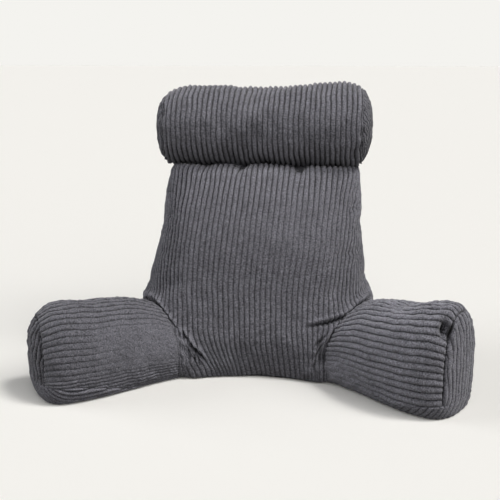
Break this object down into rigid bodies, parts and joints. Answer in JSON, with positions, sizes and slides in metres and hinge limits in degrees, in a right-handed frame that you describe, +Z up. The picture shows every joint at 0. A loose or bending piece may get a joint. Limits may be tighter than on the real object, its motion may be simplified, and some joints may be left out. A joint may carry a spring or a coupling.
{
  "type": "reading pillow with arms",
  "caption": "Filled reading pillow that stands on a floor or bed: leaning backrest, splayed arms and a neck roll on top, all in wide-ribbed cut-pile cloth.",
  "frame": {"origin": "on the floor, under the middle of the pillow's box", "axes": "+Z up; the pillow faces -Y; +X is to the right of someone who looks at its front"},
  "size_m": [0.7766, 0.416, 0.5278],
  "materials": {
    "backrest_cloth": "wide-ribbed cut pile, ribs upright",
    "arm_cloth": "wide-ribbed cut pile, ribs along the arm",
    "end_panel_cloth": "wide-ribbed cut pile, ribs upright",
    "roll_cloth": "wide-ribbed cut pile, ribs round the roll",
    "roll_end_cloth": "ribbed cut pile, round panel",
    "base_cloth": "wide-ribbed cut pile, ribs front to back"
  },
  "bodies": {
    "root": {"backrest": "backrest_cloth", "arm_left": "arm_cloth", "arm_right": "arm_cloth", "arm_end_left": "end_panel_cloth", "arm_end_right": "end_panel_cloth", "neck_roll": "roll_cloth", "roll_end_left": "roll_end_cloth", "roll_end_right": "roll_end_cloth", "base_panel": "base_cloth"}
  },
  "joints": []
}
